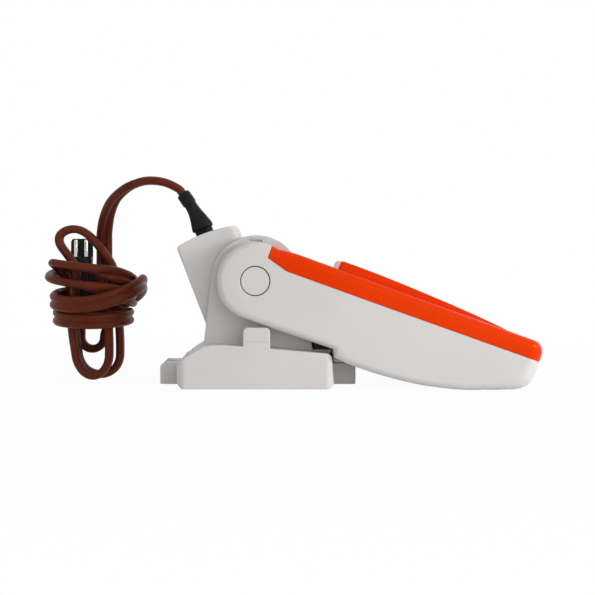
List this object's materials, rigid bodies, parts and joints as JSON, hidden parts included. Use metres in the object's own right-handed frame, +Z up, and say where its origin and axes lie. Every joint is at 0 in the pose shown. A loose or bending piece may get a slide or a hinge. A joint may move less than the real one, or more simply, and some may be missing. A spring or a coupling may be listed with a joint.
{
  "type": "sewing machine foot pedal",
  "caption": "Foot speed control for a sewing machine: screw-down base with a barrel pivot, forked tilting arm with an orange cover and hinged tread plate, and a stowed twin flex with plug",
  "frame": {"origin": "on the floor under the pivot axis, at the middle between the two floor screw holes", "axes": "+Z up, +X along the pedal towards its heel end, +Y across it, away from the near side"},
  "size_m": [0.2603, 0.099, 0.1097],
  "materials": {
    "body_plastic": "satin off-white moulded shell",
    "orange_plastic": "glossy orange moulded cover and tread",
    "black_rubber": "matt black moulded rubber",
    "grey_rubber": "matt light grey rubber",
    "flex_pvc": "semi-gloss red-brown twin flex",
    "bright_steel": "zinc-plated steel",
    "spring_steel": "blued spring steel",
    "plate_steel": "grey painted steel",
    "nylon": "natural nylon",
    "board_green": "solder-masked circuit board",
    "board_black": "black moulded electronic parts",
    "lead_sheath": "dark insulated wire",
    "plug_plastic": "black moulded plug",
    "pin_metal": "nickel-plated pins"
  },
  "bodies": {
    "base": {"base_shell": "body_plastic", "base_plate": "plate_steel", "base_screws": "bright_steel", "rubber_foot_1": "grey_rubber", "rubber_foot_2": "grey_rubber", "rubber_foot_3": "grey_rubber", "rubber_foot_4": "grey_rubber", "cable_box": "body_plastic", "box_lid": "body_plastic", "box_lid_screws": "bright_steel", "strain_relief": "black_rubber", "cord_clamp": "nylon", "cord_clamp_screws": "bright_steel", "terminal_block": "nylon", "inner_leads": "lead_sheath", "pivot_shaft": "bright_steel", "shaft_clip_near": "spring_steel", "shaft_clip_far": "spring_steel", "cord_lead": "flex_pvc", "cord_hank": "flex_pvc", "plug_body": "plug_plastic", "plug_pins": "pin_metal"},
    "arm": {"arm_shell": "body_plastic", "tread_cover": "orange_plastic", "cover_screws": "bright_steel", "hub_bush_near": "nylon", "hub_bush_far": "nylon", "hub_cap_near": "body_plastic", "hub_cap_far": "body_plastic", "heel_pad": "grey_rubber", "control_board": "board_green", "board_screws": "bright_steel", "board_parts": "board_black", "slide_sensor": "nylon", "sensor_lead": "lead_sheath", "tread_spring_near": "spring_steel", "tread_spring_far": "spring_steel", "tread_pin": "bright_steel"},
    "tread": {"tread_plate": "orange_plastic"},
    "slider": {"sensor_slider": "nylon"}
  },
  "joints": [
    {"name": "arm_tilt", "type": "hinge", "parent": "base", "child": "arm", "pos_m": [0, 0, 0.055], "axis": [0, -1, 0], "range_deg": [0, 25]},
    {"name": "tread_press", "type": "hinge", "parent": "arm", "child": "tread", "pos_m": [0.12871, 0, 0.02561], "axis": [0, -1, 0], "range_deg": [0, 4], "stiffness_Nm_per_rad": 8, "springref_deg": -2.86, "deforming": ["tread_spring_near", "tread_spring_far"]},
    {"name": "slider_travel", "type": "slide", "parent": "arm", "child": "slider", "axis": [-0.342, 0, -0.9397], "range_m": [0, 0.00447]}
  ],
  "couplings": [
    {"joint": "slider_travel", "follows": "tread_press", "m_per_rad": 0.064}
  ]
}
